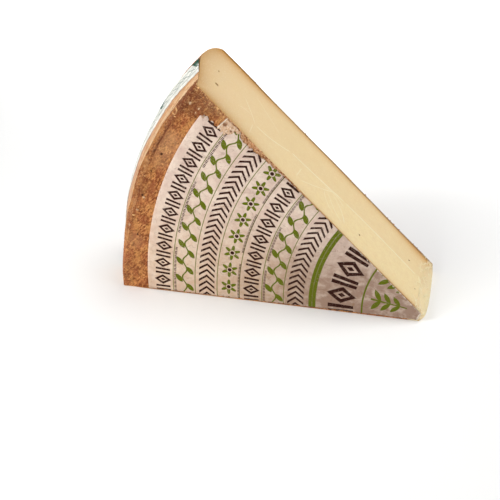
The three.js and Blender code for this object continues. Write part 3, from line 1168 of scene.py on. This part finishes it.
# %% The label's finish
def make_label_paper():
    made, tree, shader = finish("printed_paper", Specular_IOR_Level=0.15)
    x, _, z = spot_on_wedge(tree)
    along, below = along_cut(x, z)
    wear = group_in(tree, paper_group, fibre=1.1, cloud=24.0)
    mottle = group_in(tree, grain_group, lump=6.0, speck=2.6)
    grain = group_in(tree, grain_group, lump=4.0, speck=1.5)

    # fat_and_shade darkens and warms the paper towards the tip and the bottom: partly fat from the cheese,
    # partly painted shade.
    fat_and_shade = rise(x, FAT_AND_SHADE_FROM, FAT_AND_SHADE_TO) * fall(z, 10, 100) * 1.15 + fade(most(below, 0), 5) * 0.25
    # low_left turns the paper warmer and yellower low on the left.
    low_left = fall(z, 20, 130) * fall(x, -190, -80)
    smeared = noise(point(tree, x * 0.7, z, 5), 7.0, 4.0, 0.6)
    green, brown = print_on_label(x, z)
    kept_ink = 1 - grain.pits * 0.2 - wear.wrinkles * 0.3
    sheet = coats(
        LABEL["paper"],
        LABEL,
        (wear.clouds * 0.6 + mottle.clouds * 0.4, "pink"),
        (wear.stains * 0.4 + mottle.specks * 0.3, "grey"),
        (fat_and_shade * (mottle.clouds * 0.4 + 0.8), "stain"),
        (low_left * (mottle.clouds * 0.2 + 0.15), "yellowed"),
        (wear.fibres * 0.16 + wear.wrinkles * 0.4, "stain"),
        (fat_and_shade * (wear.wrinkles * 0.5 + mottle.pits * 0.25), "speck"),
        (fat_and_shade * rise(smeared, 0.46, 0.66) * 0.32, "paper"),
        (creased(x, z) * mottle.clouds * 0.5, "speck"),
        (rise(mottle.pits, 0.7, 1.0) * wear.stains * 0.6, "speck"),
        (spotted(x, z, DIRT, (mottle.height - 0.5) * 4) * 0.7, "speck"),
        (green * kept_ink, "green"),
        (brown * kept_ink, "brown"),
    )
    holes = spotted(x, z, HOLES, (grain.height - 0.5) * 3)
    under_layer = coats(
        LABEL["under"],
        LABEL,
        (grain.clouds * 0.5, "grey"),
        (most(mottle.pits, grain.pits * 0.6, holes) * 0.85, "hole"),
        (grain.specks * 0.6, "edge"),
    )
    bare = peeled(along, below)
    sheet = mix(bare, sheet, under_layer)
    sheet = mix(pale_edges(x, z, along, below, grain, mottle), sheet, LABEL["edge"])
    height = wear.height * 0.5 + wear.wrinkles * 0.6 + bare * grain.height * 2.5
    dress(shader, sheet, wear.fibres * 0.1 + 0.75, height, 0.35)
    return made


label_paper = make_label_paper()
print("finish:", label_paper.name)

# %% [markdown]
# The band is paler, smoother paper than the label, with a fine zigzag between rules and a row of
# dark green triangles. It was laid askew, so its print follows the band's own drift and not the
# heel: t runs round the band and w across it, in millimetres.

# %% The band's finish
BAND = palette(paper=(240, 238, 230), grey=(200, 201, 192), green=(26, 74, 56), line=(92, 110, 102))
ZIGZAG, ZIGZAG_DEEP, TRIANGLE_EVERY, TRIANGLE_START = 17, 11, 58, 20
BAND_RULES = ((3.4, 0.3), (4.8, 0.2), (13, 0.3), (19, 0.3))


def make_band_paper():
    made, tree, shader = finish("banded_paper", Specular_IOR_Level=0.2)
    x, across, z = spot_on_wedge(tree)
    wear = group_in(tree, paper_group, fibre=0.7, cloud=9.0)
    angle = angle_of(x, z)
    t = angle * RIM_RADIUS
    w = across - (band_drift(angle) + BAND_FROM) * THICKNESS

    zigzag = size_of(part_of(t / ZIGZAG) - 0.5) * ZIGZAG_DEEP
    bars = most(line(w - zigzag - 5.5, 0.45), line(w + zigzag - 12.5, 0.45))
    rules = most(*[line(w - place, half) for place, half in BAND_RULES])
    u = (part_of((t + TRIANGLE_START) / TRIANGLE_EVERY) - 0.5) * TRIANGLE_EVERY
    triangle = rise((w - 8) * 0.8 - size_of(u), -0.3, 0.3) * fall(w, 18.4, 18.7)
    rubbed = 1 - wear.stains * 0.6
    sheet = coats(
        BAND["paper"],
        BAND,
        (wear.clouds * 0.6 + wear.stains * 0.3, "grey"),
        (most(bars, rules) * rubbed * 0.9, "line"),
        (triangle * rubbed, "green"),
    )
    dress(shader, sheet, wear.fibres * 0.1 + 0.7, wear.height, 0.4)
    return made


band_paper = make_band_paper()
print("finish:", band_paper.name)

# %% [markdown]
# The shapes are grown with Geometry Nodes, so that each row, depth and seed stays a number that can
# be turned. The solids were bent out of plain blocks, and the same bend is used here on blocks with
# many more rows. Modelling by hand would be quicker for one wedge, but its label and band would
# have to be fitted by eye. These helpers hold the steps that the pieces share.

# %% Nodes that shape a mesh
def block(tree, *rows):
    """A block with the given rows of vertices, and where each lies in it, from -0.5 to 0.5."""
    feeds = {f"Vertices {axis}": count for axis, count in zip("XYZ", rows)}
    shape = wire(tree, "GeometryNodeMeshCube", {"Size": (1, 1, 1), **feeds})
    return shape, parts_of(wire(tree, "GeometryNodeInputPosition"))


def keep(shape, domain="POINT", **numbers):
    """Keeps numbers on the mesh, each under its name."""
    for name, value in numbers.items():
        feeds = {"Geometry": shape, "Name": name, "Value": value}
        shape = wire(shape.tree, "GeometryNodeStoreNamedAttribute", feeds, domain=domain)
    return shape


def move_to(shape, where):
    return wire(shape.tree, "GeometryNodeSetPosition", {"Geometry": shape, "Position": where})


def push(shape, direction, amount):
    """Moves points along a direction, by an amount in millimetres."""
    feeds = {0: direction, "Scale": amount * MM}
    offset = wire(shape.tree, "ShaderNodeVectorMath", feeds, operation="SCALE")
    return wire(shape.tree, "GeometryNodeSetPosition", {"Geometry": shape, "Offset": offset})


def press_in(shape, amount):
    """Moves the surface inwards along its normal, by an amount in millimetres."""
    return push(shape, wire(shape.tree, "GeometryNodeInputNormal"), amount * -1)


def ease(shape, weight, times):
    """Evens out the places of neighbouring vertices."""
    where = wire(shape.tree, "GeometryNodeInputPosition")
    feeds = {"Value": where, "Iterations": times, "Weight": weight}
    return move_to(shape, wire(shape.tree, "GeometryNodeBlurAttribute", feeds, data_type="FLOAT_VECTOR"))


def end_shape(shape, *paints):
    """Ends a shape's tree: instances made real, smooth shading, and each finish where it goes."""
    shape = wire(shape.tree, "GeometryNodeRealizeInstances", {"Geometry": shape})
    shape = wire(shape.tree, "GeometryNodeSetShadeSmooth", {"Geometry": shape})
    for material, where in paints:
        feeds = {"Geometry": shape, "Selection": where, "Material": material}
        shape = wire(shape.tree, "GeometryNodeSetMaterial", feeds)
    return end_tree(shape.tree, "NodeSocketGeometry", shape=shape)


print("shapes can keep numbers, be pressed in, eased and painted")

# %% [markdown]
# The pits are the few small openings that this cheese has in its upper cut. A dark spot in the
# finish would look flat when the light moves, so they are real hollows. Each is a ball, made uneven
# by noise, squeezed to its sizes and turned to lie along the cut, to be taken out of the cheese.

# %% The pits
# Each pit: how far it lies along and across the cut, then its length, its width and its depth.
PITS = (
    (289.9, 29.7, 5, 2.4, 1.8),
    (295.8, 50.7, 2, 1.6, 0.8),
    (101.8, 21.2, 2.4, 2.2, 1.6),
    (41.9, 57.5, 2.4, 2, 1.4),
    (27, 24.7, 1.8, 1.4, 0.6),
)


def pit_ball(tree, along, across, length, width, depth):
    ball = wire(tree, "GeometryNodeMeshIcoSphere", {"Radius": 1.0, "Subdivisions": 3})
    lumps = noise(wire(tree, "GeometryNodeInputPosition"), 0.8)
    x = tip_line - along * math.cos(CUT_ANGLE)
    z = along * math.sin(CUT_ANGLE)
    feeds = {
        "Geometry": press_in(ball, lumps * (0.5 / MM)),
        "Translation": Vector((x, across + face_plane, z)) * MM,
        "Rotation": (0, CUT_ANGLE, 0),
        "Scale": Vector((length / 2, width / 2, depth)) * MM,
    }
    return wire(tree, "GeometryNodeTransform", feeds)


def all_pits(tree):
    """The balls of all the pits, marked as cut paste far from the heel."""
    joined = place(tree, "GeometryNodeJoinGeometry")
    for pit in PITS:
        tree.links.new(pit_ball(tree, *pit).socket, joined.inputs[0])
    balls = keep(Wire(tree, joined.outputs[0]), from_heel=30.0, in_pit=1.0, share=0.5)
    return keep(balls, "FACE", is_cut=1.0)


print("there are", len(PITS), "pits, the longest", max(pit[2] for pit in PITS), "mm")

# %% [markdown]
# The cheese is one block bent into the wedge. Its rows lie closer near the heel, the rim and the
# cuts, where the relief is. On the real wheel the rind is only the outermost millimetres of the
# same cheese, so it isn't a piece of its own. Each vertex keeps how far it lies from the heel and
# at which share of the thickness, because relief and finish both ask for that. The tip gets its
# crumbly break in the bend.

# %% The cheese: one block, bent
def at_ends(share, width):
    """1 near either end of a share that goes from 0 to 1."""
    return most(fall(share, 0, width), rise(share, 1 - width, 1))


def bent_block(tree, size):
    """A block bent into the wedge, with the shares kept on it that say where each vertex lies."""
    shape, (x, y, z) = block(tree, size.rows_along, size.rows_across, size.rows_round)
    even = packed(x + 0.5, 0.6)
    inward = (even * even + even) * 0.5
    share, turn = packed(y + 0.5, 0.6), packed(z + 0.5, 0.3)
    angle = turn * CUT_ANGLE
    near, far = tip_reach(angle, share), heel_reach(angle, share)
    where = point(tree, share * THICKNESS, near * sine(angle), 0)
    near = (noise(where, 7, 3.0, 0.6) + noise(where, 2.2) * 0.4) * size.break_depth + near
    from_heel = (far - near) * inward
    shape = keep(shape, "FACE", is_cut=most(rise(size_of(z), 0.499, 0.4998), rise(x, 0.499, 0.4998)))
    shape = keep(shape, from_heel=from_heel, share=share, turn=turn, inward=inward)

    across, distance = share * THICKNESS, far - from_heel
    level, height = level_and_height(distance, angle)
    wave = swell(distance, across) * CUT_RELIEF * turn**FADE
    front = fall(from_heel, BARE_FROM, BARE_TO) * swell(level * 2, height * 2) * (1 - share) ** FADE
    back = swell(level, height + THICKNESS) * share**FADE
    level, height = level + wave * math.sin(CUT_ANGLE), height + wave * math.cos(CUT_ANGLE)
    return move_to(shape, in_metres(level, across + (front + back) * FACE_RELIEF, height))


print("the rind is to lie", RIND_INSET, "mm inside its solid, and its grain deeper")

# %% [markdown]
# What the brush and the knife did comes after the bend, along the normals of the bent surface:
# grain all over the rind, nicks along the cut edges, and the groove under the lip of the rim. Relief
# that only goes inwards keeps the cheese inside its solid. Last the rim is eased, so it looks worn.

# %% The cheese: its grain, its nicks and its groove
RIM_EASED = 3


def roughened(shape, size):
    """The wedge with its grain, its nicks and its groove pressed in, and its rim eased."""
    tree = shape.tree
    share, turn = kept(tree, "share"), kept(tree, "turn")
    inward, from_heel = kept(tree, "inward"), kept(tree, "from_heel")
    where = point(tree, *spot_on_wedge(tree))
    on_rind = most(at_ends(share, 0.002), fall(inward, 0, 0.001))
    edge = most(at_ends(share, 0.012), fall(from_heel, 0, 1.5)) * at_ends(turn, 0.015)
    edge = edge * (1 - rise(share, 0.9, 1) * 0.8)
    rim = fall(from_heel, 0, RIM_EASED) * at_ends(share, 0.03)
    grain = noise(where, 4.2, 3.0, 0.6) * 0.6 + noise(where, 1.8, 2.0) * 0.5
    nicks = rise(noise(where, 3.0, 3.0, 0.6), 0.48, 0.7) * edge
    shape = press_in(shape, (grain * size.grain_depth + RIND_INSET) * on_rind)
    shape = press_in(shape, nicks * size.nick_depth)
    shape = press_in(shape, groove(tree) * size.groove_depth)
    shape = ease(shape, most(rim, edge * 0.5), 5)
    x, y, z = parts_of(wire(tree, "GeometryNodeInputPosition"))
    return move_to(shape, point(tree, x, y, most(z, 0)))


print("the rim is eased over its outer", RIM_EASED, "mm")

# %% [markdown]
# The last step puts the cheese together: the bent block is roughened, the pits are taken out of it,
# and each face gets its finish, brown rind outside and paste on the cuts. Its rows and depths are
# the tree's named sizes.

# %% The cheese: put together and grown
def cheese_tree():
    tree, size = new_tree(
        "cheese_body",
        rows_along=150,
        rows_across=62,
        rows_round=168,
        grain_depth=0.7,
        nick_depth=1.3,
        break_depth=0.7,
        groove_depth=1.1,
    )
    feeds = {"Mesh 1": roughened(bent_block(tree, size), size), "Mesh 2": all_pits(tree)}
    shape = wire(tree, "GeometryNodeMeshBoolean", feeds, operation="DIFFERENCE", solver="MANIFOLD")
    return end_shape(shape, (rind, True), (paste, kept(tree, "is_cut")))


cheese = grow("cheese_body", cheese_tree())
print("its finishes:", [slot.name for slot in cheese.data.materials])

# %% [markdown]
# Loose crumbs of rind stand on it: short, flattish lumps, some brown and some pale. A bump can't
# break the outline of the rim against the light, so these are real lumps. They are scattered over
# the rind alone, thicker at the rim and at the upper cut, and not on the cuts, on the smooth skin
# or under the papers. Fixed seeds keep them where they are.

# %% The rind's crumbs
def bare_rind(tree):
    """1 where the rind lies bare, clear of both papers and of the cut that it stands on."""
    x, _, z = spot_on_wedge(tree)
    along, below = along_cut(x, z)
    share, inward = kept(tree, "share"), kept(tree, "inward")
    outside = rise(round_label(x, z)[0], LABEL_RADIUS + 0.6, LABEL_RADIUS + 1.2)
    edge = torn_edge(along)
    torn = rise(edge - below, 0.4, 1.0) * rise(edge, 2, 3)
    papered = fall(share, 0, 0.004) * (1 - most(outside, torn))
    level = share - band_drift(angle_of(x, z))
    banded = fall(inward, 0, 0.001) * rise(level, BAND_FROM - 0.012, BAND_FROM)
    banded = banded * fall(level, BAND_TO, BAND_TO + 0.012)
    smooth = skin_on_heel(tree) * 0.95
    unbroken = rise(hypotenuse(x, z), 22, 26)
    return (1 - papered) * (1 - banded) * (1 - smooth) * rise(z, 2, 3.5) * unbroken


def crumb_tree():
    tree, size = new_tree(
        "rind_crumbs",
        cheese=None,
        per_square_metre=60000.0,
        smallest=0.35,
        largest=1.3,
        sunk=0.2,
        seed=1,
        tone_seed=3,
        size_seed=5,
    )
    x, _, z = spot_on_wedge(tree)
    _, below = along_cut(x, z)
    rim = fade(kept(tree, "from_heel"), 5.0) * rise(kept(tree, "inward"), 0.0005, 0.002)
    edge = fade(most(below, 0), 3.0)
    gathered = rise(noise(point(tree, x, 0, z), 9.0, 1.0), 0.45, 0.65)
    feeds = {
        "Mesh": size.cheese,
        "Selection": 1 - kept(tree, "is_cut"),
        "Density": bare_rind(tree) * size.per_square_metre * (rim + edge * 4 + gathered + 0.3),
        "Seed": size.seed,
    }
    scatter = place(tree, "GeometryNodeDistributePointsOnFaces", feeds)
    spots, normal, turned = (Wire(tree, scatter.outputs[name]) for name in ("Points", "Normal", "Rotation"))
    spots = push(spots, normal, size.sunk * -1)
    feeds = {"Min": 0.0, "Max": 1.0, "Seed": size.tone_seed}
    chance = wire(tree, "FunctionNodeRandomValue", feeds, data_type="FLOAT")
    pale = least(rim * gathered * 0.5 + edge * 0.6 + 0.72, 1.3)
    spots = keep(spots, from_heel=kept(tree, "from_heel"), tone=chance * pale)
    feeds = {
        "Min": point(tree, size.smallest, size.smallest * 0.8, size.smallest * 0.6),
        "Max": point(tree, size.largest * 1.3, size.largest * 0.8, size.largest * 0.42),
        "Seed": size.size_seed,
    }
    lump_size = wire(tree, "FunctionNodeRandomValue", feeds, data_type="FLOAT_VECTOR")
    lump = wire(tree, "GeometryNodeMeshIcoSphere", {"Radius": MM, "Subdivisions": 1})
    feeds = {"Points": spots, "Instance": lump, "Rotation": turned, "Scale": lump_size}
    return end_shape(wire(tree, "GeometryNodeInstanceOnPoints", feeds), (crumb, True))


crumbs = grow("rind_crumbs", crumb_tree(), start=cheese.data.copy(), seed=7)

# %% [markdown]
# The label is a thin block of the same kind, bent to lie between the tip and its round outer edge.
# Glued paper on a damp rind cockles, so its outer side gets low cockles, two creases from handling
# and a rough patch where it is peeled. Its upper edge follows the tear, and all its edges turn in
# to the rind, because a sheet that floats over it would throw a shadow line.

# %% The label
def on_sheet(tree, size, x, turn):
    """Distance from the tip line and angle of a point of the label, and how far the label goes."""
    angle = turn * CUT_ANGLE
    # The frayed edges depend on the distance, and the distance on the angle: twice round settles it.
    for _ in range(2):
        far = reach(angle, LABEL_RADIUS, LABEL_X, LABEL_Z) - rise(turn, 0.982, 1) * size.corner
        distance = (far - LABEL_TIP) * (0.5 - x) + LABEL_TIP
        frayed = noise(point(tree, distance, 0, 3), 2.6, 3.0, 0.7) - 0.35
        uneven = most(frayed, 0) * size.fray
        low = ((uneven * 0.4 + FLOOR_GAP) / distance).math("ARCSINE")
        missing = torn_edge(distance) + uneven * rise(distance, FRAY_FROM - 60, FRAY_FROM)
        high = CUT_ANGLE - (missing / distance).math("ARCSINE")
        angle = between(low, high, turn)
    return distance, angle, far


def label_tree():
    tree, size = new_tree(
        "label_sheet",
        rows_along=210,
        rows_round=165,
        sheet=0.1,
        cockle_depth=0.16,
        peel_depth=0.22,
        corner=2.5,
        fray=5.0,
    )
    shape, (x, y, z) = block(tree, size.rows_along, 2, size.rows_round)
    distance, angle, far = on_sheet(tree, size, x, z + 0.5)
    level, height = level_and_height(distance, angle)

    where = point(tree, level, height, 0)
    inside = fall(distance, far - 12, far - 2) * 0.6 + 0.4
    cockles = noise(where, 21, 2.0) * 0.7 + noise(point(tree, level / 3, height, 4), 3.0) * 0.3
    pressed = cockles * inside * size.cockle_depth + creased(level, height) * 0.08
    rough = (noise(where, 2.2, 3.0, 0.6) * 0.8 + 0.4) * size.peel_depth
    pressed = between(pressed, rough, peeled(*along_cut(level, height)))
    edge = most(rise(size_of(x), 0.492, 0.5), rise(size_of(z), 0.485, 0.5))
    across = between(pressed - PAPER_GAP - PAPER, -EDGE_HUG, edge) + (y + 0.5) * size.sheet
    return end_shape(move_to(shape, in_metres(level, across, height)), (label_paper, True))


label = grow("label_sheet", label_tree(), sheet=SHEET)

# %% [markdown]
# The band is a strip round the heel, as thin as the label, that follows the heel's own swell. It
# was cut unevenly and has stretched, so its edges waver a little and the strip drifts as it goes.

# %% The band
def band_tree():
    tree, size = new_tree("heel_band", rows_across=26, rows_round=190, sheet=0.1, cockle_depth=0.14)
    shape, (x, y, z) = block(tree, 2, size.rows_across, size.rows_round)
    angle = between(BAND_START, CUT_ANGLE, z + 0.5)
    ragged = sine(angle * 310) * 0.003 + sine(angle * 143 + 2) * 0.004
    share = between(BAND_FROM, BAND_TO, y + 0.5) + ragged * size_of(y) * 2 + band_drift(angle)
    cockles = noise(point(tree, angle * RIM_RADIUS, share * THICKNESS, 9), 8, 3.0)
    edge = rise(size_of(y), 0.38, 0.5)
    outer = between(PAPER_GAP + PAPER - cockles * size.cockle_depth, EDGE_HUG, edge)
    off = outer - (x + 0.5) * size.sheet
    level, height = level_and_height(heel_reach(angle, share) + off, angle)
    return end_shape(move_to(shape, in_metres(level, share * THICKNESS, height)), (band_paper, True))


band = grow("heel_band", band_tree(), sheet=SHEET)

# %% [markdown]
# Each piece now says which body it rides on, and the three plain solids are hidden.

# %% Hand the pieces to the frame
SLOTS = {
    "cheese_paste": cheese,
    "cheese_rind": crumbs,
    "label_paper": label,
    "band_paper": band,
}
for slot, piece in SLOTS.items():
    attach(piece, "root")
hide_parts("cheese_wedge")
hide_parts("face_label")
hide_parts("side_band")
